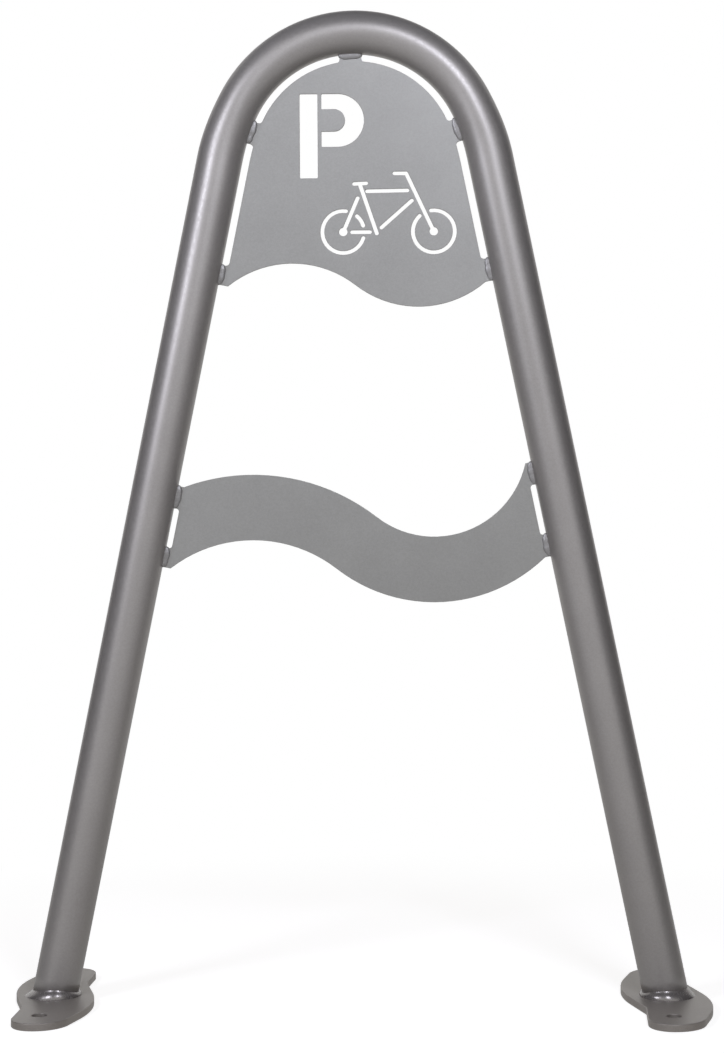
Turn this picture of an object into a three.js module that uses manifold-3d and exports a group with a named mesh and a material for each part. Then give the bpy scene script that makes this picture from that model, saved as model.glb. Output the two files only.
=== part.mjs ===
// A bicycle parking stand: one bent steel tube on two base plates, with a cut sign sheet and a wave
// sheet welded between its legs. Millimetres, +Z up, X across the stand, the front towards -Y.
// The origin is on the ground, midway between the two feet.
import * as THREE from "three";
import { mergeVertices } from "three/addons/utils/BufferGeometryUtils.js";
import Module from "manifold-3d";

const wasm = await Module();
wasm.setup();
const degrees = THREE.MathUtils.degToRad;

// Tube: a round section, pressed a little flat where the crown is bent
const tubeDiameter = 48.3;
const tubeWall = 2.9;
const crownDepth = 45.6;
const crownBreadth = 49.8;
const archHeight = 1032.5;
const crownBendRadius = 138;
const shoulderBendRadius = 224;
const crownHalfAngle = degrees(61.9);
const legLean = degrees(11.66);
const tubeSides = 32;

// Base plates, each with two anchor holes and a drain hole under the tube
const plateThickness = 8;
const plateHalfLength = 126.5;
const plateLobeHalfWidth = 30.4;
const plateTipInset = 22.7;
const plateBulgeHalfWidth = 51.6;
const plateBulgeDistance = 33.2;
const plateWaistHalfWidth = 26.3;
const plateWaistDistance = 55.5;
const plateTipCornerRadius = 28;
const plateTipSideRadius = 36;
const plateBulgeRadius = 150;
const plateWaistRadius = 15;
const anchorHoleDiameter = 16;
const anchorHoleDistance = 90.4;
const anchorHoleOffset = 1.5;
const drainHoleDiameter = 20;

// Both sheets
const sheetThickness = 4;
const tabLength = 24;
const waveSlope = degrees(38.1);
const tipTrim = 3;

// Sign sheet. A drop is measured down from the top of the tube's centre line, and a rise up from the
// middle of the wave that it belongs to.
const signSlotWidth = 7.5;
const signWaveDrop = 266.3;
const signLeftRise = -0.4;
const signRightRise = 2.5;
const topTabShift = -5;
const upperTabShare = 0.507;

// Wave sheet
const waveSlotWidth = 6;
const waveDrop = 540.2;
const waveBandWidth = 69.8;
const bandTopLeftRise = 32.9;
const bandTopRightRise = 56.4;
const bandBottomLeftRise = 1.2;
const bandBottomRightRise = 11.4;

// Stencilled letter: its stem is parted from its bowl by a bridge
const letterLeft = -58.2;
const letterDrop = 64.2;
const letterHeight = 89;
const letterWidth = 68.2;
const letterStemWidth = 19;
const letterBridge = 4.1;
const letterBowlHeight = 56;
const letterBowlBar = 16.2;
const letterBowlSide = 20;
const letterCornerRadius = 1.2;

// Stencilled bicycle: places are shares of the wheelbase, from the rear hub
const rearHubX = -12.6;
const hubRise = 56.2;
const wheelbase = 96;
const wheelRadius = 22.2;
const hubRadius = 4.5;
const bicycleLineWidth = 4.1;
const bicycleLineShares = [
  { from: [0, 0], to: [0.161, 0.371] },
  { from: [0.098, -0.003], to: [0.295, -0.003] },
  { from: [0.371, -0.018], to: [0.185, 0.525] },
  { from: [0.123, 0.528], to: [0.256, 0.534] },
  { from: [0.266, 0.446], to: [0.71, 0.452] },
  { from: [0.422, 0.046], to: [0.759, 0.34] },
  { from: [0.569, 0.64], to: [0.697, 0.64] },
  { from: [0.697, 0.64], to: [1, 0] },
];
const rearRingArcs = [
  { from: degrees(82), to: degrees(343) },
  { from: degrees(17), to: degrees(49) },
];
const frontRingArcs = [{ from: degrees(132), to: degrees(457.5) }];

// Welds
const footWeldLeg = 7;
const footWeldCrown = 0.8;
const tabWeldRadius = 5.5;

// Clearance between neighbours, and the overrun of every cut
const fitGap = 0.3;
const cutOverrun = 5;

// Drawing: how far a chord may stray from its arc, how close two points are one, and how much of a
// side one rounded corner may take
const arcError = 0.08;
const samePointDistance = 0.001;
const cornerRoomShare = 0.49;

const tubeRadius = tubeDiameter / 2;
const platesTop = plateThickness + fitGap;

// Centre line of the tube, by the distance along it from the top, to the right when positive
const bendEnd = Math.PI / 2 - legLean;
const crownLength = crownBendRadius * crownHalfAngle;
const shoulderLength = shoulderBendRadius * (bendEnd - crownHalfAngle);
const bendLength = crownLength + shoulderLength;
const crownCentre = new THREE.Vector2(0, archHeight - crownBendRadius);
const shoulderCentre = crownCentre
  .clone()
  .addScaledVector(outwardAt(crownHalfAngle), crownBendRadius - shoulderBendRadius);
const bendEndPoint = shoulderCentre.clone().addScaledVector(outwardAt(bendEnd), shoulderBendRadius);
const legDirection = new THREE.Vector2(Math.sin(legLean), -Math.cos(legLean));
const legLength = (bendEndPoint.y - platesTop) / Math.cos(legLean);
const footX = bendEndPoint.x + Math.sin(legLean) * legLength;

function outwardAt(angle) {
  return new THREE.Vector2(Math.sin(angle), Math.cos(angle));
}

function station(distance) {
  const run = Math.abs(distance);
  let angle = bendEnd;
  let point;
  if (run <= crownLength) {
    angle = run / crownBendRadius;
    point = crownCentre.clone().addScaledVector(outwardAt(angle), crownBendRadius);
  } else if (run <= bendLength) {
    angle = crownHalfAngle + (run - crownLength) / shoulderBendRadius;
    point = shoulderCentre.clone().addScaledVector(outwardAt(angle), shoulderBendRadius);
  } else {
    point = bendEndPoint.clone().addScaledVector(legDirection, run - bendLength);
  }
  const outward = outwardAt(angle);
  if (distance < 0) {
    point.x = -point.x;
    outward.x = -outward.x;
  }
  return { point, outward };
}

// How far the bend has pressed the section: wholly in the crown, and less and less in the shoulder
function pressedShare(distance) {
  const run = Math.abs(distance);
  return 1 - THREE.MathUtils.smoothstep(run, crownLength, bendLength);
}

function halfDepth(distance) {
  return (tubeDiameter + (crownDepth - tubeDiameter) * pressedShare(distance)) / 2;
}

// A point beside the tube: its distance along the tube, and how far inside the centre line it lies
function besideTube(distance, inset) {
  const { point, outward } = station(distance);
  return point.addScaledVector(outward, -inset);
}

// Points of an arc, close enough together that the chords stray by no more than arcError
function arcPoints(centre, radius, from, to) {
  const step = 2 * Math.acos(1 - arcError / Math.max(radius, arcError));
  const count = Math.max(2, Math.ceil(Math.abs(to - from) / step));
  const points = [];
  for (let i = 0; i <= count; i++) {
    const angle = from + ((to - from) * i) / count;
    points.push(
      new THREE.Vector2(centre.x + radius * Math.cos(angle), centre.y + radius * Math.sin(angle)),
    );
  }
  return points;
}

function circlePoints(centre, radius) {
  return arcPoints(centre, radius, 0, 2 * Math.PI).slice(1);
}

function angleFrom(centre, point) {
  return Math.atan2(point.y - centre.y, point.x - centre.x);
}

// A polygon with each corner rounded by its own radius, as far as the sides beside it leave room
function roundedPolygon(corners) {
  const points = [];
  corners.forEach(({ at, radius }, i) => {
    const before = corners[(i + corners.length - 1) % corners.length].at;
    const after = corners[(i + 1) % corners.length].at;
    const room = Math.min(before.distanceTo(at), after.distanceTo(at)) * cornerRoomShare;
    const back = before.clone().sub(at).normalize();
    const ahead = after.clone().sub(at).normalize();
    const half = Math.acos(back.dot(ahead)) / 2;
    const reach = Math.min(radius / Math.tan(half), room);
    const rounding = reach * Math.tan(half);
    const middle = back.clone().add(ahead).normalize();
    const centre = at.clone().addScaledVector(middle, rounding / Math.sin(half));
    const from = angleFrom(centre, at.clone().addScaledVector(back, reach));
    let to = angleFrom(centre, at.clone().addScaledVector(ahead, reach));
    if (to - from > Math.PI) to -= 2 * Math.PI;
    if (from - to > Math.PI) to += 2 * Math.PI;
    points.push(...arcPoints(centre, rounding, from, to));
  });
  return points;
}

// Solids: three.js shapes become closed solids that can be joined and cut
function solidOf(geometry) {
  geometry.deleteAttribute("normal");
  geometry.deleteAttribute("uv");
  const merged = mergeVertices(geometry, samePointDistance);
  return new wasm.Manifold(
    new wasm.Mesh({
      numProp: 3,
      vertProperties: merged.attributes.position.array,
      triVerts: new Uint32Array(merged.index.array),
    }),
  );
}

function geometryOf(solid) {
  const mesh = solid.getMesh();
  const geometry = new THREE.BufferGeometry();
  geometry.setAttribute("position", new THREE.BufferAttribute(mesh.vertProperties, mesh.numProp));
  geometry.setIndex(new THREE.BufferAttribute(mesh.triVerts, 1));
  const faceted = geometry.toNonIndexed();
  faceted.computeVertexNormals();
  return faceted;
}

// An outline drawn in X and Z, made a sheet that stands on either side of Y = 0
function standingSheet(outline, thickness) {
  const geometry = new THREE.ExtrudeGeometry(new THREE.Shape(outline), {
    depth: thickness,
    bevelEnabled: false,
  });
  geometry.translate(0, 0, -thickness / 2);
  geometry.rotateX(Math.PI / 2);
  return solidOf(geometry);
}

function sheetCutter(outline) {
  return standingSheet(outline, sheetThickness + 2 * cutOverrun);
}

// The tube's centre line as a curve with one long step down each leg and short ones round the bends
const bendSteps = 2 * Math.ceil(bendLength / (2 * Math.sqrt(2 * arcError * crownBendRadius)));
const tubeSteps = bendSteps + 2;
const tubeReach = bendLength + legLength + tubeDiameter;

class TubeLine extends THREE.Curve {
  distanceAt(share) {
    const step = share * tubeSteps;
    if (step < 1) return -tubeReach + step * (tubeReach - bendLength);
    if (step > tubeSteps - 1) return tubeReach - (tubeSteps - step) * (tubeReach - bendLength);
    return -bendLength + ((step - 1) / bendSteps) * 2 * bendLength;
  }

  getPoint(share) {
    const { point } = station(this.distanceAt(share));
    return new THREE.Vector3(point.x, 0, point.y);
  }

  getTangent(share) {
    const { outward } = station(this.distanceAt(share));
    return new THREE.Vector3(outward.y, 0, -outward.x);
  }

  getPointAt(share) {
    return this.getPoint(share);
  }

  getTangentAt(share) {
    return this.getTangent(share);
  }
}

// Presses the swept section flat in the bends: narrower in the stand's plane, broader across it
function pressBends(geometry) {
  const position = geometry.attributes.position;
  for (let i = 0; i < position.count; i++) {
    const spot = new THREE.Vector2(Math.abs(position.getX(i)), position.getZ(i));
    const side = Math.sign(position.getX(i));
    const fromCrown = spot.clone().sub(crownCentre);
    const fromShoulder = spot.clone().sub(shoulderCentre);
    const crownAngle = Math.atan2(fromCrown.x, fromCrown.y);
    const shoulderAngle = Math.atan2(fromShoulder.x, fromShoulder.y);
    if (shoulderAngle > bendEnd) continue;
    const inCrown = crownAngle < crownHalfAngle;
    const centre = inCrown ? crownCentre : shoulderCentre;
    const radius = inCrown ? crownBendRadius : shoulderBendRadius;
    const distance = inCrown
      ? crownAngle * crownBendRadius
      : crownLength + (shoulderAngle - crownHalfAngle) * shoulderBendRadius;
    const pressed = pressedShare(distance);
    const depthShare = 1 + (crownDepth / tubeDiameter - 1) * pressed;
    const breadthShare = 1 + (crownBreadth / tubeDiameter - 1) * pressed;
    const arm = spot.clone().sub(centre);
    const length = arm.length();
    arm.multiplyScalar((radius + (length - radius) * depthShare) / length);
    position.setX(i, side * (centre.x + arm.x));
    position.setZ(i, centre.y + arm.y);
    position.setY(i, position.getY(i) * breadthShare);
  }
  return geometry;
}

function bentRod(radius, boreRadius = 0) {
  const section = new THREE.Shape().absarc(0, 0, radius, 0, 2 * Math.PI);
  if (boreRadius > 0) section.holes.push(new THREE.Path().absarc(0, 0, boreRadius, 0, 2 * Math.PI));
  const geometry = new THREE.ExtrudeGeometry(section, {
    steps: tubeSteps,
    curveSegments: tubeSides / 2,
    extrudePath: new TubeLine(),
  });
  return solidOf(pressBends(geometry));
}

// Everything below the plates' top face, so that the legs end flat on the plates
function groundBlock() {
  const width = 2 * (footX + tubeDiameter * 2);
  const height = tubeDiameter * 2 + platesTop;
  const block = new THREE.BoxGeometry(width, tubeDiameter * 2, height);
  block.translate(0, 0, platesTop - height / 2);
  return solidOf(block);
}

const ground = groundBlock();
const frameTube = bentRod(tubeRadius, tubeRadius - tubeWall).subtract(ground);
const clearedTube = bentRod(tubeRadius + fitGap);

// Base plate: one outline that looks the same when turned half round, so both plates are alike
function basePlate(side) {
  const half = [
    { at: new THREE.Vector2(-plateLobeHalfWidth, -plateHalfLength), radius: plateTipCornerRadius },
    { at: new THREE.Vector2(plateTipInset, -plateHalfLength), radius: plateTipSideRadius },
    { at: new THREE.Vector2(plateBulgeHalfWidth, -plateBulgeDistance), radius: plateBulgeRadius },
    { at: new THREE.Vector2(plateWaistHalfWidth, plateWaistDistance), radius: plateWaistRadius },
  ];
  const turned = half.map(({ at, radius }) => ({ at: at.clone().negate(), radius }));
  const outline = new THREE.Shape(roundedPolygon([...half, ...turned]));
  const holes = [
    { x: -anchorHoleOffset, y: -anchorHoleDistance, radius: anchorHoleDiameter / 2 },
    { x: 0, y: 0, radius: drainHoleDiameter / 2 },
    { x: anchorHoleOffset, y: anchorHoleDistance, radius: anchorHoleDiameter / 2 },
  ];
  for (const { x, y, radius } of holes) {
    const centre = new THREE.Vector2(x, y);
    outline.holes.push(new THREE.Path(circlePoints(centre, radius)));
  }
  const geometry = new THREE.ExtrudeGeometry(outline, { depth: plateThickness, bevelEnabled: false });
  geometry.translate(side * footX, 0, 0);
  return solidOf(geometry);
}

// Foot weld: a ring with a slightly crowned face, leaning with the leg that it goes round
function footWeld(side) {
  const outer = new THREE.Vector2(tubeRadius + footWeldLeg, 0);
  const inner = new THREE.Vector2(tubeRadius, footWeldLeg);
  const middle = outer.clone().lerp(inner, 0.5);
  middle.add(new THREE.Vector2(footWeldCrown, footWeldCrown));
  const face = new THREE.QuadraticBezierCurve(outer, middle, inner).getPoints(tubeSides / 8);
  const profile = [new THREE.Vector2(0, 0), ...face, new THREE.Vector2(0, footWeldLeg)];
  const geometry = new THREE.LatheGeometry(profile, tubeSides + tubeSides / 2);
  geometry.rotateX(Math.PI / 2);
  geometry.applyMatrix4(new THREE.Matrix4().makeShear(0, 0, 0, 0, -side * Math.tan(legLean), 0));
  geometry.translate(side * footX, 0, platesTop);
  return solidOf(geometry).subtract(clearedTube);
}

// The edge of a sheet beside the tube, from one distance along the tube to another. The sheet stands
// back by the slot, and each tab crosses the slot to the tube. The slots end in rounded corners.
function edgeBesideTube(from, to, tabs, slotWidth) {
  const cornerRadius = slotWidth / 2;
  const bodyInset = (distance) => halfDepth(distance) + slotWidth;
  const tabInset = (distance) => halfDepth(distance) + fitGap;
  const bendStep = (2 * bendLength) / bendSteps;
  const points = [];

  function follow(start, end, inset) {
    const first = Math.ceil(Math.max(start, -bendLength) / bendStep);
    const last = Math.floor(Math.min(end, bendLength) / bendStep);
    points.push(besideTube(start, inset(start)));
    for (let i = first; i <= last; i++) {
      const distance = i * bendStep;
      if (distance > start && distance < end) points.push(besideTube(distance, inset(distance)));
    }
    points.push(besideTube(end, inset(end)));
  }

  function corner(distance, towards) {
    const centre = new THREE.Vector2(distance + towards * cornerRadius, 0);
    const round = arcPoints(centre, cornerRadius, towards > 0 ? Math.PI : 0, Math.PI / 2);
    const ordered = towards > 0 ? round : round.reverse();
    for (const spot of ordered) {
      points.push(besideTube(spot.x, bodyInset(spot.x) - cornerRadius + spot.y));
    }
  }

  let place = from;
  for (const tab of tabs) {
    if (tab.start > place) {
      follow(place + cornerRadius, tab.start - cornerRadius, bodyInset);
      corner(tab.start, -1);
    }
    follow(tab.start, tab.end, tabInset);
    place = tab.end;
    if (place < to) corner(place, 1);
  }
  return points;
}

// A tab's stretch along the centre line: on a bend the inner side is shorter than the centre line
function tabStretch(distance, length) {
  const run = Math.abs(distance);
  const inner = halfDepth(distance);
  let span = length;
  if (run < crownLength) span *= crownBendRadius / (crownBendRadius - inner);
  else if (run < bendLength) span *= shoulderBendRadius / (shoulderBendRadius - inner);
  return { start: distance - span / 2, end: distance + span / 2 };
}

// How far down the tube the edge of a sheet beside it, a slot's width off, comes to a given height
function distanceAtHeight(height, slotWidth) {
  let above = 0;
  let below = bendLength + legLength;
  while (below - above > samePointDistance) {
    const middle = (above + below) / 2;
    if (besideTube(middle, halfDepth(middle) + slotWidth).y > height) above = middle;
    else below = middle;
  }
  return below;
}

// The arc that leaves a point square to a given direction and ends at another point
function tangentArc(start, across, end) {
  const span = end.clone().sub(start);
  const radius = span.lengthSq() / (2 * span.dot(across));
  const centre = start.clone().addScaledVector(across, radius);
  const from = angleFrom(centre, start);
  let to = angleFrom(centre, end);
  if (to < from) to += 2 * Math.PI;
  return arcPoints(centre, Math.abs(radius), from, to);
}

// One wavy edge from left to right: a crest on the left and a trough on the right, which meet in the
// middle without a kink. Its left tip can be cut back from the corner that it would make with the slot.
function wavyEdge(middle, leftRise, rightRise, slotWidth, trim) {
  const left = -distanceAtHeight(middle.y + leftRise, slotWidth + trim);
  const right = distanceAtHeight(middle.y + rightRise, slotWidth);
  const leftEnd = besideTube(left, halfDepth(left) + slotWidth + trim);
  const rightEnd = besideTube(right, halfDepth(right) + slotWidth);
  const crest = tangentArc(middle, acrossWave, leftEnd);
  const trough = tangentArc(middle, acrossWave, rightEnd);
  return { points: [...crest.toReversed(), ...trough.slice(1)], left, right };
}

const acrossWave = new THREE.Vector2(Math.sin(waveSlope), Math.cos(waveSlope));
const signMiddle = new THREE.Vector2(0, archHeight - signWaveDrop);
const signEdge = wavyEdge(signMiddle, signLeftRise, signRightRise, signSlotWidth, tipTrim);
const signTabs = {
  lower_left: { start: signEdge.left, end: signEdge.left + tabLength - tipTrim },
  upper_left: tabStretch(signEdge.left * upperTabShare, tabLength),
  top: tabStretch(topTabShift, tabLength),
  upper_right: tabStretch(signEdge.right * upperTabShare, tabLength),
  lower_right: { start: signEdge.right - tabLength, end: signEdge.right },
};

const bandMiddle = new THREE.Vector2(0, archHeight - waveDrop);
const bandTop = wavyEdge(
  bandMiddle.clone().addScaledVector(acrossWave, waveBandWidth / 2),
  bandTopLeftRise,
  bandTopRightRise,
  waveSlotWidth,
  0,
);
const bandBottom = wavyEdge(
  bandMiddle.clone().addScaledVector(acrossWave, -waveBandWidth / 2),
  bandBottomLeftRise,
  bandBottomRightRise,
  waveSlotWidth,
  tipTrim,
);
const bandTabs = {
  lower_left: { start: bandBottom.left, end: bandBottom.left + tabLength - tipTrim },
  upper_left: { start: bandTop.left - tabLength, end: bandTop.left },
  upper_right: { start: bandTop.right, end: bandTop.right + tabLength },
  lower_right: { start: bandBottom.right - tabLength, end: bandBottom.right },
};

// Stencil cuts
function stroke(from, to, width) {
  const angle = angleFrom(from, to);
  return sheetCutter([
    ...arcPoints(to, width / 2, angle - Math.PI / 2, angle + Math.PI / 2),
    ...arcPoints(from, width / 2, angle + Math.PI / 2, angle + (3 * Math.PI) / 2),
  ]);
}

function ringCut(centre, radius, width, { from, to }) {
  const endAt = (angle) =>
    new THREE.Vector2(centre.x + radius * Math.cos(angle), centre.y + radius * Math.sin(angle));
  return sheetCutter([
    ...arcPoints(centre, radius + width / 2, from, to),
    ...arcPoints(endAt(to), width / 2, to, to + Math.PI),
    ...arcPoints(centre, radius - width / 2, to, from),
    ...arcPoints(endAt(from), width / 2, from + Math.PI, from + 2 * Math.PI),
  ]);
}

function letterCuts() {
  const letterTop = archHeight - letterDrop;
  const bottom = letterTop - letterHeight;
  const stemRight = letterLeft + letterStemWidth;
  const bowlLeft = stemRight + letterBridge;
  const bowlRight = letterLeft + letterWidth;
  const bowlBottom = letterTop - letterBowlHeight;
  const outerRadius = letterBowlHeight / 2;
  const innerRadius = outerRadius - letterBowlBar;
  const outerCentre = new THREE.Vector2(bowlRight - outerRadius, letterTop - outerRadius);
  const innerCentre = new THREE.Vector2(
    bowlRight - letterBowlSide - innerRadius,
    letterTop - outerRadius,
  );
  const sharp = (x, y) => ({ at: new THREE.Vector2(x, y), radius: letterCornerRadius });
  const stem = roundedPolygon([
    sharp(letterLeft, bottom),
    sharp(stemRight, bottom),
    sharp(stemRight, letterTop),
    sharp(letterLeft, letterTop),
  ]);
  const bars = roundedPolygon([
    sharp(bowlLeft, bowlBottom),
    sharp(outerCentre.x + outerRadius, bowlBottom),
    sharp(outerCentre.x + outerRadius, letterTop),
    sharp(bowlLeft, letterTop),
  ]);
  const roundEnd = [
    ...arcPoints(outerCentre, outerRadius, -Math.PI / 2, Math.PI / 2),
    new THREE.Vector2(bowlLeft - cutOverrun, letterTop),
    new THREE.Vector2(bowlLeft - cutOverrun, bowlBottom),
  ];
  const counter = [
    ...arcPoints(innerCentre, innerRadius, -Math.PI / 2, Math.PI / 2),
    new THREE.Vector2(bowlLeft - cutOverrun, innerCentre.y + innerRadius),
    new THREE.Vector2(bowlLeft - cutOverrun, innerCentre.y - innerRadius),
  ];
  const bowl = sheetCutter(bars).intersect(sheetCutter(roundEnd)).subtract(sheetCutter(counter));
  return [sheetCutter(stem), bowl];
}

function bicycleCuts() {
  const rearHub = new THREE.Vector2(rearHubX, signMiddle.y + hubRise);
  const frontHub = new THREE.Vector2(rearHub.x + wheelbase, rearHub.y);
  const place = ([across, up]) =>
    new THREE.Vector2(rearHub.x + across * wheelbase, rearHub.y + up * wheelbase);
  const cuts = bicycleLineShares.map(({ from, to }) =>
    stroke(place(from), place(to), bicycleLineWidth),
  );
  for (const arc of rearRingArcs) cuts.push(ringCut(rearHub, wheelRadius, bicycleLineWidth, arc));
  for (const arc of frontRingArcs) cuts.push(ringCut(frontHub, wheelRadius, bicycleLineWidth, arc));
  for (const hub of [rearHub, frontHub]) {
    cuts.push(sheetCutter(circlePoints(hub, hubRadius)));
  }
  return cuts;
}

function signSheet() {
  const tabs = Object.values(signTabs);
  const edge = edgeBesideTube(signEdge.left, signEdge.right, tabs, signSlotWidth);
  const outline = [...edge, ...signEdge.points.toReversed()];
  const blank = standingSheet(outline, sheetThickness);
  return [...letterCuts(), ...bicycleCuts()].reduce((sheet, cut) => sheet.subtract(cut), blank);
}

function waveSheet() {
  const rightTabs = [bandTabs.upper_right, bandTabs.lower_right];
  const leftTabs = [bandTabs.lower_left, bandTabs.upper_left];
  const rightEnd = edgeBesideTube(bandTop.right, bandBottom.right, rightTabs, waveSlotWidth);
  const leftEnd = edgeBesideTube(bandBottom.left, bandTop.left, leftTabs, waveSlotWidth);
  const outline = [
    ...bandTop.points,
    ...rightEnd,
    ...bandBottom.points.toReversed(),
    ...leftEnd,
  ];
  return standingSheet(outline, sheetThickness);
}

// Tab weld: one bead in the corner between the tube and one face of a tab
function tabWeld(tab, face) {
  const distance = (tab.start + tab.end) / 2;
  const { outward } = station(distance);
  const spot = besideTube(distance, halfDepth(distance));
  const length = besideTube(tab.start, halfDepth(distance)).distanceTo(
    besideTube(tab.end, halfDepth(distance)),
  );
  const bead = new THREE.CapsuleGeometry(
    tabWeldRadius,
    length - 2 * tabWeldRadius,
    tubeSides / 8,
    tubeSides / 2,
  );
  bead.rotateX(Math.PI / 2);
  bead.rotateY(Math.atan2(outward.y, -outward.x));
  bead.translate(spot.x, (face * sheetThickness) / 2, spot.y);
  const depth = sheetThickness / 2 + fitGap + tabWeldRadius;
  const behind = new THREE.BoxGeometry(2 * tabLength, depth, 2 * tabLength);
  behind.translate(spot.x, face * (sheetThickness / 2 + fitGap - depth / 2), spot.y);
  return solidOf(bead).subtract(solidOf(behind)).subtract(clearedTube);
}

// Finishes: one silver-grey powder coat over everything, a little darker low down
const coatRoughness = 0.45;
const coatMetalness = 0.35;

function powderCoat(color) {
  return new THREE.MeshStandardMaterial({
    color,
    roughness: coatRoughness,
    metalness: coatMetalness,
  });
}

const tubeCoat = powderCoat(0x8b8a89);
const sheetCoat = powderCoat(0xa3a3a6);
const plateCoat = powderCoat(0x8e8c89);
const weldCoat = powderCoat(0x858381);

const stand = new THREE.Group();

function addPart(name, solid, material) {
  const mesh = new THREE.Mesh(geometryOf(solid), material);
  mesh.name = name;
  stand.add(mesh);
}

addPart("frame_tube", frameTube, tubeCoat);
addPart("sign_sheet", signSheet(), sheetCoat);
addPart("wave_sheet", waveSheet(), sheetCoat);

for (const [name, side] of [["left", -1], ["right", 1]]) {
  addPart(`base_plate_${name}`, basePlate(side), plateCoat);
  addPart(`foot_weld_${name}`, footWeld(side), weldCoat);
}

for (const [sheet, tabs] of [["sign", signTabs], ["wave", bandTabs]]) {
  for (const [place, tab] of Object.entries(tabs)) {
    addPart(`${sheet}_weld_${place}_front`, tabWeld(tab, -1), weldCoat);
    addPart(`${sheet}_weld_${place}_back`, tabWeld(tab, 1), weldCoat);
  }
}

export default stand;
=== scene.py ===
# A bicycle parking stand: a bent steel tube on two flame-cut plates, with a cut sign sheet and a
# wave sheet welded between its legs, all under one silver-grey powder coat.
# Metres, +Z up, X across the stand. Whoever reads the sign stands on the -Y side.
import math

import bmesh
import bpy
from mathutils import Matrix, Vector, noise


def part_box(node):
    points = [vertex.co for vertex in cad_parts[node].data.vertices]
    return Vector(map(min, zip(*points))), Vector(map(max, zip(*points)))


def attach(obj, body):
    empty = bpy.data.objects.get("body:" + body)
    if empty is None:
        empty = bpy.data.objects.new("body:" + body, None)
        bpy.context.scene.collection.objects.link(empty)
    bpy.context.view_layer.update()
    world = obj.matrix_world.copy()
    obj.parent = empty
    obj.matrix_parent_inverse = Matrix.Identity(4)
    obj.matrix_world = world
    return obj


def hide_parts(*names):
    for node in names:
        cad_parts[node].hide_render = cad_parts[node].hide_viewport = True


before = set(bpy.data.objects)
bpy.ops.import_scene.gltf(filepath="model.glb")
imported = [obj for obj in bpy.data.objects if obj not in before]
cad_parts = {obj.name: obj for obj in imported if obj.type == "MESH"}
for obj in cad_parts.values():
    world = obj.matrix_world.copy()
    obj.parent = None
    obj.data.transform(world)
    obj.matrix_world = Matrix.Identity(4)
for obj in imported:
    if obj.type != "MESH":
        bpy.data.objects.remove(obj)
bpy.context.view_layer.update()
scene = bpy.context.scene
scene.view_settings.view_transform = "Standard"
print("frame loaded,", len(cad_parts), "nodes")


# the photograph's own viewpoint
camera = {
    "place": (0.0699, -2.3993, 0.5828),
    "turn": math.radians(-1.537),  # to the right of straight on
    "tilt": math.radians(1.741),  # downwards
    "roll": math.radians(-0.319),
    "lens": 77.10,  # mm
    "sensor": 36,  # mm, along the photograph's height
}


def addCamera(look):
    ahead = Vector((
        math.sin(look["turn"]) * math.cos(look["tilt"]),
        math.cos(look["turn"]) * math.cos(look["tilt"]),
        -math.sin(look["tilt"]),
    ))
    across = Vector((math.cos(look["turn"]), -math.sin(look["turn"]), 0))
    upwards = across.cross(ahead)
    c, s = math.cos(look["roll"]), math.sin(look["roll"])
    axes = Matrix((c * across + s * upwards, c * upwards - s * across, -ahead)).transposed()
    data = bpy.data.cameras.new("standCamera")
    data.lens, data.sensor_width = look["lens"], look["sensor"]
    view = bpy.data.objects.new("standCamera", data)
    view.matrix_world = Matrix.Translation(look["place"]) @ axes.to_4x4()
    scene.collection.objects.link(view)
    scene.camera = view


addCamera(camera)
print("camera made")


pureWhite = (1, 1, 1, 1)


def linear(hexValue):
    # an sRGB hex value as the linear colour that a shader takes
    channels = [(hexValue >> shift & 255) / 255 for shift in (16, 8, 0)]
    return [v / 12.92 if v <= 0.04045 else ((v + 0.055) / 1.055) ** 2.4 for v in channels] + [1]


def addNode(tree, kind, settings={}, links={}):
    # capitalised or numbered settings are sockets, the others are the node's own switches
    node = tree.nodes.new("ShaderNode" + kind)
    for key, value in settings.items():
        if isinstance(key, int) or key[0].isupper():
            node.inputs[key].default_value = value
        else:
            setattr(node, key, value)
    for key, output in links.items():
        tree.links.new(output, node.inputs[key])
    return node


def ranged(reach, first, last):
    # settings that take a value from first to last as it goes through its reach
    return {"From Min": reach[0], "From Max": reach[1], "To Min": first, "To Max": last}


def smoothly(reach, first, last):
    return {"interpolation_type": "SMOOTHSTEP", **ranged(reach, first, last)}


# the floor and the room round the stand
studio = {
    "floorHeight": -0.0003,
    "floorSize": 9.0,
    "floorAlbedo": 0xc4bbb0,  # what the floor throws back onto the stand
    "floorWhite": 0xf4f4f4,  # what the camera sees of it in the light
    "floorGlow": 0.62,  # brings the lit paper up to white
    "shadowShare": 0.55,  # how much of the seen floor is lit by the lamps and so can hold a shadow
    "shadowReach": (0.45, 0.95),  # the shadow fades out between these distances
    "paperShine": (0.6, 0.85),  # how bright gloss sees the paper near the stand and far from it: a painted shadow round the stand
    "paperFrom": (0, 0, 0.5),  # the middle of the stand, which mirrors the floor
    "roomColour": 0xfff6ec,
    "roomStrength": 0.12,
    "backWall": 1.0,  # a bright wall behind the stand lights its back softly
    "backWallFrom": (0.55, 0.85),  # as a share of the direction, as are the next two
    "wallsFrom": (0.64, 0.80),  # the dark walls begin this far sideways
    "ceilingFrom": (0.45, 0.80),  # and the dark ceiling this far up
    "wallGlow": 0.03,
    "dimFloorFrom": (0.72, 1.0),  # the mirrored floor is painted dimmer towards the walls
    "dimFloor": 0.42,
}
lamps = {
    "leftSoftbox": {"azimuth": -42, "height": 14, "distance": 2.0, "size": 0.5, "power": 16.6,
                    "colour": 0xeef0ff},
    "rightSoftbox": {"azimuth": 18, "height": 25, "distance": 2.0, "size": 0.5, "power": 18,
                     "colour": 0xeef0ff},
}
lampAim = Vector((0, 0, 0.85))  # near the middle of the sign


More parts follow.
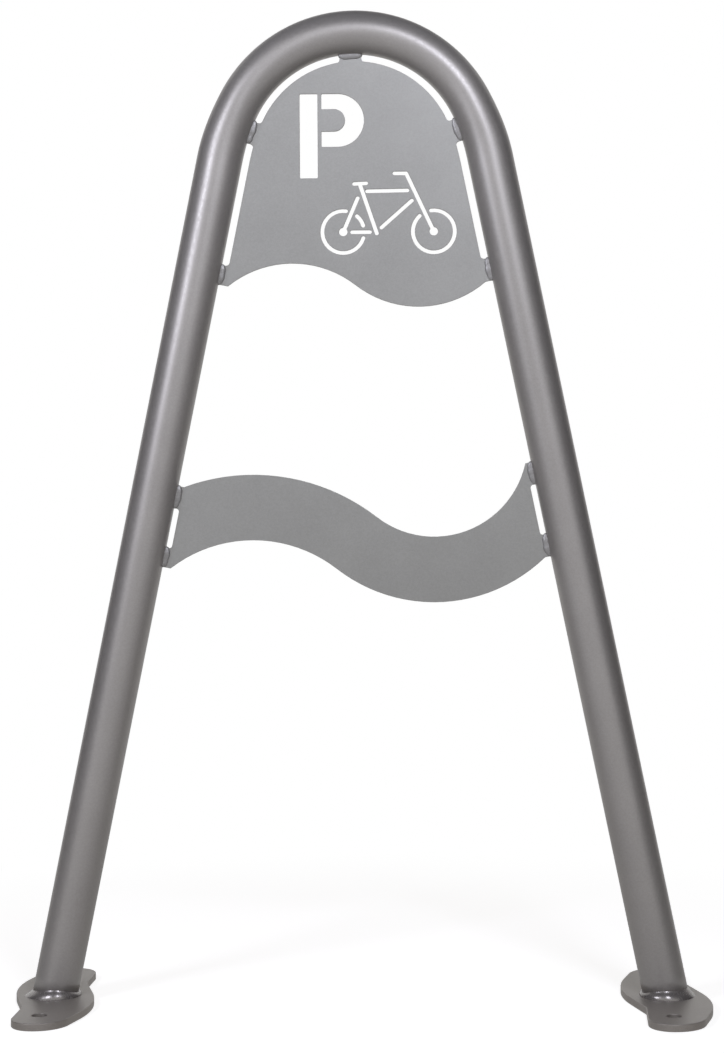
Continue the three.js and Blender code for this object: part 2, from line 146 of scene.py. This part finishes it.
def seenRays(tree):
    # the rays that see the white background: straight or through glass, and also off gloss
    path = addNode(tree, "LightPath").outputs
    straight = addNode(tree, "Math", {"operation": "MAXIMUM"},
                       {0: path["Is Camera Ray"], 1: path["Is Transmission Ray"]}).outputs[0]
    either = addNode(tree, "Math", {"operation": "MAXIMUM"},
                     {0: straight, 1: path["Is Glossy Ray"]}).outputs[0]
    return straight, either


def betweenWalls(tree, sideways, reach, glow):
    # 1 on the paper and dull on the walls at both sides, for a direction away from the stand
    sideways = addNode(tree, "Math", {"operation": "ABSOLUTE"}, {0: sideways}).outputs[0]
    return addNode(tree, "MapRange", smoothly(reach, 1, glow), {"Value": sideways}).outputs[0]


def addRoom(look):
    # white paper before and behind the stand, dark walls at its sides that draw the dark edges
    # along the tube, and the warm light of the room on everything, dim but for the back
    world = bpy.data.worlds.new("whiteRoom")
    world.use_nodes = True
    tree = world.node_tree
    tree.nodes.clear()
    straight, either = seenRays(tree)
    way = addNode(tree, "TexCoord").outputs["Generated"]
    way = addNode(tree, "SeparateXYZ", {}, {0: way}).outputs
    underCeiling = addNode(tree, "MapRange", smoothly(look["ceilingFrom"], 1, look["wallGlow"]),
                           {"Value": way["Z"]}).outputs[0]
    paper = betweenWalls(tree, way["X"], look["wallsFrom"], look["wallGlow"])
    paper = addNode(tree, "Math", {"operation": "MULTIPLY"},
                    {0: paper, 1: underCeiling}).outputs[0]
    white = addNode(tree, "Math", {"operation": "MAXIMUM"}, {0: straight, 1: paper}).outputs[0]
    backdrop = addNode(tree, "Background", {"Color": pureWhite}, {"Strength": white})
    brightBack = smoothly(look["backWallFrom"], look["roomStrength"], look["backWall"])
    strength = addNode(tree, "MapRange", brightBack, {"Value": way["Y"]}).outputs[0]
    room = addNode(tree, "Background", {"Color": linear(look["roomColour"])},
                   {"Strength": strength})
    mix = addNode(tree, "MixShader", {}, {0: either, 1: room.outputs[0], 2: backdrop.outputs[0]})
    addNode(tree, "OutputWorld", {}, {0: mix.outputs[0]})
    scene.world = world


def studioPaper(look):
    # pale paper: white to the eye, with the stand's shadow fading out round it
    paper = bpy.data.materials.new("studioPaper")
    paper.use_nodes = True
    tree = paper.node_tree
    tree.nodes.clear()
    straight, either = seenRays(tree)
    place = addNode(tree, "TexCoord").outputs["Object"]
    distance = addNode(tree, "VectorMath", {"operation": "LENGTH"}, {0: place}).outputs["Value"]

    # what the eye sees: lit paper near the stand, plain white further off
    lit = addNode(tree, "BsdfDiffuse", {"Color": linear(look["floorWhite"])})
    glow = addNode(tree, "Emission", {"Color": pureWhite, "Strength": look["floorGlow"]})
    lit = addNode(tree, "AddShader", {}, {0: lit.outputs[0], 1: glow.outputs[0]})
    white = addNode(tree, "Emission", {"Color": pureWhite, "Strength": 1})
    share = addNode(tree, "MapRange", smoothly(look["shadowReach"], look["shadowShare"], 0),
                    {"Value": distance}).outputs[0]
    shown = addNode(tree, "MixShader", {}, {0: share, 1: white.outputs[0], 2: lit.outputs[0]})

    # what gloss sees: paper with painted shade, darker near the stand and towards the walls
    away = addNode(tree, "VectorMath", {"operation": "SUBTRACT", 1: look["paperFrom"]},
                   {0: place}).outputs[0]
    away = addNode(tree, "VectorMath", {"operation": "NORMALIZE"}, {0: away}).outputs[0]
    way = addNode(tree, "SeparateXYZ", {}, {0: away}).outputs
    sides = betweenWalls(tree, way["X"], look["dimFloorFrom"], look["dimFloor"])
    shineAndShadow = addNode(tree, "MapRange", smoothly(look["shadowReach"], *look["paperShine"]),
                    {"Value": distance}).outputs[0]
    shineAndShadow = addNode(tree, "Math", {"operation": "MULTIPLY"}, {0: shineAndShadow, 1: sides}).outputs[0]
    gloss = addNode(tree, "Emission", {"Color": pureWhite}, {"Strength": shineAndShadow})

    # all other rays meet the floor that throws light back onto the stand
    thrown = addNode(tree, "BsdfDiffuse", {"Color": linear(look["floorAlbedo"])})
    unseen = addNode(tree, "MixShader", {}, {0: either, 1: thrown.outputs[0], 2: gloss.outputs[0]})
    mix = addNode(tree, "MixShader", {},
                  {0: straight, 1: unseen.outputs[0], 2: shown.outputs[0]})
    addNode(tree, "OutputMaterial", {}, {0: mix.outputs[0]})
    return paper


def addFloor(look):
    bm = bmesh.new()
    bmesh.ops.create_grid(bm, x_segments=4, y_segments=4, size=look["floorSize"] / 2,
                          matrix=Matrix.Translation((0, 0, look["floorHeight"])))
    mesh = bpy.data.meshes.new("studioFloor")
    bm.to_mesh(mesh)
    bm.free()
    mesh.materials.append(studioPaper(look))
    floor = bpy.data.objects.new("studioFloor", mesh)
    scene.collection.objects.link(floor)


def addLamp(name, look):
    azimuth, height = math.radians(look["azimuth"]), math.radians(look["height"])
    away = Vector((
        math.sin(azimuth) * math.cos(height),
        -math.cos(azimuth) * math.cos(height),
        math.sin(height),
    ))
    data = bpy.data.lights.new(name, "AREA")
    data.shape, data.size = "SQUARE", look["size"]
    data.energy, data.color = look["power"], linear(look["colour"])[:3]
    lamp = bpy.data.objects.new(name, data)
    lamp.location = lampAim + away * look["distance"]
    lamp.rotation_euler = away.to_track_quat("Z", "Y").to_euler()
    lamp.visible_camera = False
    scene.collection.objects.link(lamp)


addRoom(studio)
addFloor(studio)
for lampName, lampLook in lamps.items():
    addLamp(lampName, lampLook)
print("studio lit by", len(lamps), "lamps")


# the powder coat that all pieces share, each with its own changes
coat = {
    "metallic": 0.5,  # half of what the light meets is aluminium flake
    "ior": 1.45,
    "roughness": 0.42,
    "roughnessSpread": 0.05,
    "roughnessSpan": (0.25, 0.75),  # the mottle's values that this spread is drawn from
    "cloudSize": 0.060,  # slow changes of the film's thickness
    "cloudShare": 0.045,
    "mottleSize": 0.0030,  # the fine mottling of a metallic powder
    "mottleShare": 0.040,
    "flakeSize": 0.0012,  # real flakes are 0.03 mm: drawn as coarse as they need to show
    "flakeShare": 0.025,
    "patternSpan": (0.2, 0.8),  # the patterns' values that the shares are drawn from
    "peelSize": 0.0035,  # orange peel of the molten powder
    "peelDepth": 0.000012,
    "holeShare": 1,  # painted shade: how bright the coat is drawn deep in a hole
    "holeReach": 0.016,  # the holes' width
    "holeSeen": (0.4, 0.85),  # how much of the surroundings is seen deep in a hole, where the painted shade is full, and at its rim, where it ends
    "cutFacing": (0.35, 0.15),  # how squarely a face looks out where grooves begin and are full
}


def powderCoat(name, colour, changes={}, grooves=None):
    look = {**coat, **changes}
    material = bpy.data.materials.new(name)
    material.use_nodes = True
    tree = material.node_tree
    tree.nodes.clear()
    place = addNode(tree, "TexCoord").outputs["Object"]
    cloud = addNode(tree, "TexNoise", {"Scale": 1 / look["cloudSize"], "Detail": 2},
                    {"Vector": place}).outputs[0]
    mottle = addNode(tree, "TexNoise", {"Scale": 1 / look["mottleSize"], "Detail": 2},
                     {"Vector": place}).outputs[0]
    flake = addNode(tree, "TexVoronoi", {"Scale": 1 / look["flakeSize"]}, {"Vector": place})
    flake = addNode(tree, "SeparateColor", {}, {0: flake.outputs["Color"]}).outputs[0]

    # the patterns brighten and darken the pigment round its own colour
    shades = [
        addNode(tree, "MapRange", ranged(look["patternSpan"], 1 - share, 1 + share),
                {"Value": pattern}).outputs[0]
        for pattern, share in ((cloud, look["cloudShare"]), (mottle, look["mottleShare"]),
                               (flake, look["flakeShare"]))
    ]
    if look["holeShare"] < 1:
        # painted shade: the pigment is darkened in the holes, where little of the surroundings is
        # seen
        seen = addNode(tree, "AmbientOcclusion",
                       {"only_local": True, "samples": 8, "Distance": look["holeReach"]})
        paintedHoleShade = ranged(look["holeSeen"], look["holeShare"], 1)
        shades.append(addNode(tree, "MapRange", paintedHoleShade, {"Value": seen.outputs["AO"]}).outputs[0])
    shade = shades[0]
    for other in shades[1:]:
        shade = addNode(tree, "Math", {"operation": "MULTIPLY"}, {0: shade, 1: other}).outputs[0]
    pigment = addNode(tree, "VectorMath", {"operation": "SCALE", 0: linear(colour)[:3]},
                      {"Scale": shade}).outputs[0]

    least, most = (look["roughness"] + sign * look["roughnessSpread"] for sign in (-1, 1))
    rough = addNode(tree, "MapRange", ranged(look["roughnessSpan"], least, most),
                    {"Value": mottle}).outputs[0]
    peel = addNode(tree, "TexNoise", {"Scale": 1 / look["peelSize"], "Detail": 1},
                   {"Vector": place}).outputs[0]
    bump = addNode(tree, "Bump", {"Strength": 1, "Distance": look["peelDepth"]},
                   {"Height": peel}).outputs[0]
    if grooves:
        bump = cutGrooves(tree, place, bump, grooves, look["cutFacing"])
    skin = addNode(tree, "BsdfPrincipled", {"Metallic": look["metallic"], "IOR": look["ior"]},
                   {"Base Color": pigment, "Roughness": rough, "Normal": bump})
    addNode(tree, "OutputMaterial", {}, {0: skin.outputs[0]})
    return material


def cutGrooves(tree, place, bump, grooves, cutFacing):
    # the beam's or flame's drag lines show through the coat on the cut edges only
    along = [0 if axis == grooves["through"] else 1 for axis in "XYZ"]
    flat = addNode(tree, "VectorMath", {"operation": "MULTIPLY", 1: along}, {0: place}).outputs[0]
    lines = addNode(tree, "TexNoise", {"Scale": 1 / grooves["spacing"], "Detail": 2},
                    {"Vector": flat}).outputs[0]
    normal = addNode(tree, "NewGeometry").outputs["True Normal"]
    normal = addNode(tree, "SeparateXYZ", {}, {0: normal}).outputs
    facing = addNode(tree, "Math", {"operation": "ABSOLUTE"},
                     {0: normal[grooves["through"]]}).outputs[0]
    edge = addNode(tree, "MapRange", ranged(cutFacing, 0, 1), {"Value": facing}).outputs[0]
    height = addNode(tree, "Math", {"operation": "MULTIPLY"}, {0: lines, 1: edge}).outputs[0]
    return addNode(tree, "Bump", {"Strength": 1, "Distance": grooves["depth"]},
                   {"Height": height, "Normal": bump}).outputs[0]


# silver powder coat on smooth drawn tube: satin, with soft highlights that run along it
coatedTubeSteel = powderCoat("powderCoatOnTube", 0x9d9a97)
# the same powder on flat laser-cut sheet: an even, finely mottled grey, fine lines across its edges
coatedSheetSteel = powderCoat(
    "powderCoatOnLaserCutSheet", 0x969693,
    {"roughness": 0.45},
    grooves={"through": "Y", "spacing": 0.0005, "depth": 0.00004},
)
# the same powder on thick flame-cut plate: duller, with coarse drag lines down its edges and
# painted shade deep in its holes
coatedPlateSteel = powderCoat(
    "powderCoatOnFlameCutPlate", 0x97928c,
    {"metallic": 0.4, "roughness": 0.45, "mottleShare": 0.06, "holeShare": 0.6},
    grooves={"through": "Z", "spacing": 0.0011, "depth": 0.00018},
)
# the same powder on a weld bead, its colour drawn darker as painted shade; glossier, and with small
# bright glints
shadedWeldCoat = powderCoat(
    "powderCoatOnWeldBead", 0x888481, {"roughness": 0.27, "roughnessSpread": 0.01})
# the short beads on the tabs are flatter and smoother, and take the sheet's own tone
coatedTabWeldSteel = powderCoat(
    "powderCoatOnTabBead", 0x939291, {"roughness": 0.44, "roughnessSpread": 0.02})
print("powder coats mixed")


# the frame: one bent tube
tube = {
    "diameter": 0.0483,
    "wall": 0.0029,
    "crownDepth": 0.0456,  # the bends press the round section a little flat
    "crownBreadth": 0.0498,
    "archHeight": 1.0325,  # top of the centre line
    "crownRadius": 0.138,
    "crownAngle": math.radians(61.9),
    "shoulderRadius": 0.224,
    "legLean": math.radians(11.66),
    "footHeight": 0.0083,  # the legs are cut off here, just over the plates
    "plateTop": 0.008,
    "sides": 112,
    "crownSteps": 60,
    "shoulderSteps": 26,
    "legSteps": 36,
    "cutWithin": 1e-6,
    "joinWithin": 1e-5,  # points closer than this are made one
}
tubeRadius = tube["diameter"] / 2
legAngle = math.pi / 2 - tube["legLean"]


def outwards(angle):
    return Vector((math.sin(angle), 0, math.cos(angle)))


crownCentre = Vector((0, 0, tube["archHeight"] - tube["crownRadius"]))
shoulderStep = tube["crownRadius"] - tube["shoulderRadius"]
shoulderCentre = crownCentre + outwards(tube["crownAngle"]) * shoulderStep
bendEnd = shoulderCentre + outwards(legAngle) * tube["shoulderRadius"]
legDown = Vector((math.sin(tube["legLean"]), 0, -math.cos(tube["legLean"])))
crownRun = tube["crownRadius"] * tube["crownAngle"]
bendRun = crownRun + tube["shoulderRadius"] * (legAngle - tube["crownAngle"])
footX = bendEnd.x + (bendEnd.z - tube["plateTop"]) * math.tan(tube["legLean"])


def runOf(x, z):
    # how far along the centre line a place lies, from the top of the crown: less than 0 on the left
    side, x = (-1, -x) if x < 0 else (1, x)
    angle = math.atan2(x, z - crownCentre.z)
    if angle <= tube["crownAngle"]:
        return side * tube["crownRadius"] * angle
    angle = math.atan2(x - shoulderCentre.x, z - shoulderCentre.z)
    if angle <= legAngle:
        return side * (crownRun + tube["shoulderRadius"] * (angle - tube["crownAngle"]))
    return side * (bendRun + (Vector((x, 0, z)) - bendEnd).dot(legDown))


def station(run):
    # the centre line's place and outward direction, with half the section's depth and breadth there
    side, run = (-1, -run) if run < 0 else (1, run)
    if run <= crownRun:
        out = outwards(run / tube["crownRadius"])
        centre = crownCentre + out * tube["crownRadius"]
    elif run <= bendRun:
        out = outwards(tube["crownAngle"] + (run - crownRun) / tube["shoulderRadius"])
        centre = shoulderCentre + out * tube["shoulderRadius"]
    else:
        out = outwards(legAngle)
        centre = bendEnd + legDown * (run - bendRun)
    t = min(max((run - crownRun) / (bendRun - crownRun), 0), 1)
    pressed = 1 - t * t * (3 - 2 * t)  # all round the crown, and easing off through the shoulder
    depth = tube["diameter"] + (tube["crownDepth"] - tube["diameter"]) * pressed
    breadth = tube["diameter"] + (tube["crownBreadth"] - tube["diameter"]) * pressed
    mirror = Vector((side, 1, 1))
    return centre * mirror, out * mirror, depth / 2, breadth / 2


def addPiece(name, bm, material, node, sharpAngle=40):
    mesh = bpy.data.meshes.new(name)
    bm.to_mesh(mesh)
    bm.free()
    mesh.shade_smooth()
    mesh.set_sharp_from_angle(angle=math.radians(sharpAngle))
    mesh.materials.append(material)
    piece = bpy.data.objects.new(name, mesh)
    scene.collection.objects.link(piece)
    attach(piece, "root")
    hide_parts(node)
    return piece


def lastEdges(swept):
    return [g for g in swept["geom_last"] if isinstance(g, bmesh.types.BMEdge)]


def buildTube():
    # half of the arch is spun from the top of the crown down and mirrored
    bm = bmesh.new()
    atop = Matrix.Translation((0, 0, tube["archHeight"])) @ Matrix.Rotation(math.pi / 2, 4, "Y")
    bmesh.ops.create_circle(bm, segments=tube["sides"], radius=tubeRadius, matrix=atop)
    swept = bmesh.ops.spin(bm, geom=bm.edges[:], cent=crownCentre, axis=(0, 1, 0),
                           angle=tube["crownAngle"], steps=tube["crownSteps"])
    swept = bmesh.ops.spin(bm, geom=lastEdges(swept), cent=shoulderCentre, axis=(0, 1, 0),
                           angle=legAngle - tube["crownAngle"], steps=tube["shoulderSteps"])
    legLength = (bendEnd.z + tubeRadius) / math.cos(tube["legLean"])
    bmesh.ops.spin(bm, geom=lastEdges(swept), cent=(0, 0, 0), axis=(0, 1, 0), angle=0,
                   dvec=legDown * legLength / tube["legSteps"], steps=tube["legSteps"])
    bmesh.ops.bisect_plane(bm, geom=bm.verts[:] + bm.edges[:] + bm.faces[:],
                           dist=tube["cutWithin"], plane_co=(0, 0, tube["footHeight"]),
                           plane_no=(0, 0, 1), clear_inner=True)
    bmesh.ops.mirror(bm, geom=bm.verts[:] + bm.edges[:] + bm.faces[:],
                     merge_dist=tube["joinWithin"], axis="X")
    bmesh.ops.remove_doubles(bm, verts=bm.verts[:], dist=tube["joinWithin"])
    for v in bm.verts:  # press the section in the bends
        centre, out, depth, breadth = station(runOf(v.co.x, v.co.z))
        v.co += out * (v.co - centre).dot(out) * (depth / tubeRadius - 1)
        v.co.y *= breadth / tubeRadius
    bmesh.ops.recalc_face_normals(bm, faces=bm.faces[:])
    piece = addPiece("bentTube", bm, coatedTubeSteel, "frame_tube")
    wall = piece.modifiers.new("wall", "SOLIDIFY")
    wall.thickness, wall.offset, wall.use_even_offset = tube["wall"], -1, True


buildTube()
print("tube bent")


# the cut edges of the two sheets and the two base plates
cuts = {
    "sheetRound": 0.00035,  # the coat rounds the laser-cut edges this much
    "plateRound": 0.0009,
    "roundSteps": 3,
    "flatFacing": 0.9,  # how squarely a face of the flat side looks out
    "joinWithin": 1e-6,
}


def roundedPlate(node, axis, radius):
    # one flat side of the CAD plate or sheet: its edge is rounded by insets and drawn down to the
    # middle, and the half is mirrored
    way = "XYZ".index(axis)
    low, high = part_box(node)
    middle, half = (low[way] + high[way]) / 2, (high[way] - low[way]) / 2
    toMiddle = [-middle if i == way else 0.0 for i in range(3)]
    outward = [float(i == way) for i in range(3)]
    bm = bmesh.new()
    bm.from_mesh(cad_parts[node].data)
    bmesh.ops.remove_doubles(bm, verts=bm.verts[:], dist=cuts["joinWithin"])
    others = [f for f in bm.faces if f.normal[way] < cuts["flatFacing"]]
    bmesh.ops.delete(bm, geom=others, context="FACES")
    bmesh.ops.translate(bm, verts=bm.verts[:], vec=toMiddle)
    flat = bm.faces[:]
    for v in bm.verts:
        v.co[way] = half - radius
    turned = [math.pi / 2 * i / cuts["roundSteps"] for i in range(cuts["roundSteps"] + 1)]
    for a, b in zip(turned, turned[1:]):
        bmesh.ops.inset_region(bm, faces=flat, thickness=radius * (math.cos(a) - math.cos(b)),
                               use_boundary=True, use_even_offset=True)
        for v in {v for f in flat for v in f.verts}:
            v.co[way] = half - radius * (1 - math.sin(b))
    # a sliver that only just misses a hole turns over in the insets, so the flat is filled afresh
    inside = set(flat)
    flatRim = [e for e in bm.edges
               if len(e.link_faces) == 2 and len(inside.intersection(e.link_faces)) == 1]
    bmesh.ops.delete(bm, geom=flat, context="FACES")
    bmesh.ops.triangle_fill(bm, edges=flatRim, use_beauty=True, normal=outward)
    drawn = bmesh.ops.extrude_edge_only(bm, edges=[e for e in bm.edges if e.is_boundary])
    for g in drawn["geom"]:
        if isinstance(g, bmesh.types.BMVert):
            g.co[way] = 0
    bmesh.ops.mirror(bm, geom=bm.verts[:] + bm.edges[:] + bm.faces[:],
                     merge_dist=cuts["joinWithin"], axis=axis)
    bmesh.ops.remove_doubles(bm, verts=bm.verts[:], dist=cuts["joinWithin"])
    bmesh.ops.translate(bm, verts=bm.verts[:], vec=[-c for c in toMiddle])
    bmesh.ops.recalc_face_normals(bm, faces=bm.faces[:])
    return bm


def addCutPiece(name, node, axis, radius, material):
    piece = addPiece(name, roundedPlate(node, axis, radius), material, node)
    even = piece.modifiers.new("evenShading", "WEIGHTED_NORMAL")  # the flats stay flat to the eye
    even.keep_sharp, even.weight = True, 100


for name, node in (("signSheet", "sign_sheet"), ("waveSheet", "wave_sheet")):
    addCutPiece(name, node, "Y", cuts["sheetRound"], coatedSheetSteel)
for name, node in (("leftBasePlate", "base_plate_left"), ("rightBasePlate", "base_plate_right")):
    addCutPiece(name, node, "Z", cuts["plateRound"], coatedPlateSteel)
print("sheets and plates cut")


# the bead round each leg
footWeld = {
    "outerReach": {-1: 0.0070, 1: 0.0062},  # over the plate, outside the left and the right leg
    "sideReach": 0.0052,
    "innerReach": 0.0036,
    "outerHeight": {-1: 0.0058, 1: 0.0095},  # up the tube
    "sideHeight": {-1: 0.0078, 1: 0.0070},
    "innerHeight": 0.0036,
    "sideCrown": 1.2,  # 1 is a full round face, 2 a flat one
    "outerCrown": 2.0,
    "toe": 0.0024,  # how far the bead washes up the tube
    "toeWidth": 0.0011,
    "bury": 0.0010,  # how far the bead reaches into the tube and the plate
    "edgeTurn": 0.001,  # radians: the face's points this near the plate or the tube are buried
    "ripple": 0.0042,
    "rippleDepth": 0.000035,
    "rippleLean": 0.85,  # less than 1 makes a ripple steeper at its front
    "bow": 0.0022,  # how far the ripples' ends trail
    "wobble": 0.0005,
    "wobbleSize": 0.014,
    "steps": 420,
    "rows": 20,
    "sharpAngle": 80,
    "joinWithin": 1e-7,
}
seedStep = 5.3  # takes each bead to its own part of the noise


def ripples(distance, bow, look):
    # one crescent after another
    turn = (distance - bow) / look["ripple"]
    share = turn - math.floor(turn)
    return look["rippleDepth"] * (math.sin(math.pi * share ** look["rippleLean"]) ** 2 - 0.5)


def wander(place, seed, look):
    # slow changes of the bead's size, as the hand moves on
    where = place / look["wobbleSize"] + Vector((0, 0, seedStep * seed))
    return look["wobble"] * noise.noise(where)


def footWeldPoint(angle, around, side, look):
    # a point of the bead's face: how far it is from the tube and how high over the plate
    outer, inner = max(math.cos(around), 0) ** 2, max(-math.cos(around), 0) ** 2
    sides = 1 - outer - inner
    onTube = Vector((math.cos(around), math.sin(around), 0)) * tubeRadius
    grow = 1 + wander(onTube, side, look) / look["sideReach"]
    wide = grow * (outer * look["outerReach"][side] + sides * look["sideReach"]
                   + inner * look["innerReach"])
    high = grow * (outer * look["outerHeight"][side] + sides * look["sideHeight"][side]
                   + inner * look["innerHeight"])
    crown = look["sideCrown"] + (look["outerCrown"] - look["sideCrown"]) * outer
    bow = look["bow"] * math.cos(2 * angle) ** 2
    bump = ripples(around * (tubeRadius + wide), bow, look) * math.sin(2 * angle)
    point = Vector((abs(math.cos(angle)) ** crown * wide, abs(math.sin(angle)) ** crown * high))
    point += Vector((math.cos(angle), math.sin(angle))) * bump
    point.y += look["toe"] * sides * math.exp(-point.x / look["toeWidth"])
    if angle < look["edgeTurn"]:
        point.y = -look["bury"]
    if angle > math.pi / 2 - look["edgeTurn"]:
        point.x = -look["bury"]
    return point


def buildFootWeld(side):
    # a buried corner and a quarter circle of 1 m are spun round the leg, and the circle's points
    # are then drawn in to the bead's face
    look = footWeld
    plateTop = tube["plateTop"]
    bm = bmesh.new()
    chain = [bm.verts.new((tubeRadius - look["bury"], 0, plateTop - look["bury"]))]
    for row in range(look["rows"] + 1):  # the rows are closer together at both edges
        turn = math.pi / 4 * (1 - math.cos(math.pi * row / look["rows"]))
        chain.append(bm.verts.new((tubeRadius + math.cos(turn), 0, plateTop + math.sin(turn))))
    for a, b in zip(chain, chain[1:] + chain[:1]):
        bm.edges.new((a, b))
    bmesh.ops.spin(bm, geom=bm.edges[:], cent=(0, 0, 0), axis=(0, 0, 1), angle=2 * math.pi,
                   steps=look["steps"], use_merge=True)
    for v in bm.verts:
        around = math.atan2(v.co.y, v.co.x)
        reach = Vector((math.hypot(v.co.x, v.co.y) - tubeRadius, v.co.z - plateTop))
        if reach.length > 2 * look["bury"]:
            reach = footWeldPoint(math.atan2(reach.y, reach.x), around, side, look)
        radius = tubeRadius + reach.x
        v.co = Vector((math.cos(around) * radius, math.sin(around) * radius, plateTop + reach.y))
        # the leg leans: its level section is stretched along X and slides inwards with height
        slide = reach.y * math.tan(tube["legLean"])
        v.co.x = side * (footX + v.co.x / math.cos(tube["legLean"]) - slide)
    bmesh.ops.remove_doubles(bm, verts=bm.verts[:], dist=look["joinWithin"])
    bmesh.ops.recalc_face_normals(bm, faces=bm.faces[:])
    word = "left" if side < 0 else "right"
    addPiece(word + "FootWeld", bm, shadedWeldCoat, "foot_weld_" + word,
             look["sharpAngle"])


for side in (-1, 1):
    buildFootWeld(side)


# the short bead on each tab, front and back
tabWeld = {
    "length": 0.0256,
    "trimmedLength": 0.0226,  # the lower left tabs end at a cut tip
    "trimmed": ("sign_weld_lower_left", "wave_weld_lower_left"),
    "overSheet": 0.0056,  # reach over the sheet
    "overTube": 0.0024,  # and out towards the viewer
    "sheetHalf": 0.002,
    "crown": 0.95,  # 1 is a full round face, less has a flatter top
    "endShape": 2.2,  # how blunt the ends are
    "ripple": 0.0030,
    "rippleDepth": 0.00006,
    "rippleLean": 0.85,
    "rippleStart": 0.001,  # how far before the bead's middle a ripple begins
    "bow": 0.0012,
    "wobble": 0.0005,
    "wobbleSize": 0.007,
    "firstSeed": 3,  # after those of the foot beads
    "steps": 64,
    "sides": 32,
    "sharpAngle": 70,
    "joinWithin": 1e-6,
}


def stretched(run):
    # centre line length for each length along the tube's inner side
    if abs(run) <= crownRun:
        return tube["crownRadius"] / (tube["crownRadius"] - tubeRadius)
    if abs(run) <= bendRun:
        return tube["shoulderRadius"] / (tube["shoulderRadius"] - tubeRadius)
    return 1


def buildTabWeld(node, seed):
    # a straight round bar from -1 to 1 is laid along the tube's inner side and narrowed at its ends
    look = tabWeld
    low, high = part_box(node)
    middle = (low + high) / 2
    run = runOf(middle.x, middle.z)
    face = 1 if middle.y > 0 else -1
    length = look["trimmedLength" if node.startswith(look["trimmed"]) else "length"]
    start = Matrix.Translation((-1, 0, 0)) @ Matrix.Rotation(math.pi / 2, 4, "Y")
    bm = bmesh.new()
    bmesh.ops.create_circle(bm, segments=look["sides"], radius=1, matrix=start)
    bmesh.ops.spin(bm, geom=bm.edges[:], cent=(0, 0, 0), axis=(1, 0, 0), angle=0,
                   dvec=(2 / look["steps"], 0, 0), steps=look["steps"])
    for v in bm.verts:
        t = min(max(round(v.co.x, 5), -1), 1)  # exact at the tips, so that they close
        angle = math.atan2(v.co.y, v.co.z)
        size = (1 - abs(t) ** look["endShape"]) ** (1 / look["endShape"])
        along = t * length / 2
        grow = size * (1 + wander(Vector((along, 0, 0)), seed, look) / look["overTube"])
        bow = look["bow"] * math.cos(2 * angle)
        bump = size * ripples(along + look["rippleStart"], bow, look)
        # the bead follows the tube, its inner side is nearer the crown's centre
        here, out, depth, _ = station(run + along * stretched(run))
        c, s = math.cos(angle), math.sin(angle)
        c = math.copysign(abs(c) ** look["crown"], c)
        s = math.copysign(abs(s) ** look["crown"], s)
        v.co = here - out * (depth + (look["overSheet"] * grow + bump) * c)
        v.co.y = face * (look["sheetHalf"] + (look["overTube"] * grow + bump) * s)
    bmesh.ops.remove_doubles(bm, verts=bm.verts[:], dist=look["joinWithin"])
    bmesh.ops.recalc_face_normals(bm, faces=bm.faces[:])
    words = node.split("_")
    name = words[0] + "".join(w.capitalize() for w in words[1:])
    addPiece(name, bm, coatedTabWeldSteel, node, look["sharpAngle"])


tabWelds = sorted(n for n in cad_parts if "_weld_" in n and not n.startswith("foot"))
for seed, node in enumerate(tabWelds, start=tabWeld["firstSeed"]):
    buildTabWeld(node, seed)
print("beads laid:", len(tabWelds) + 2)
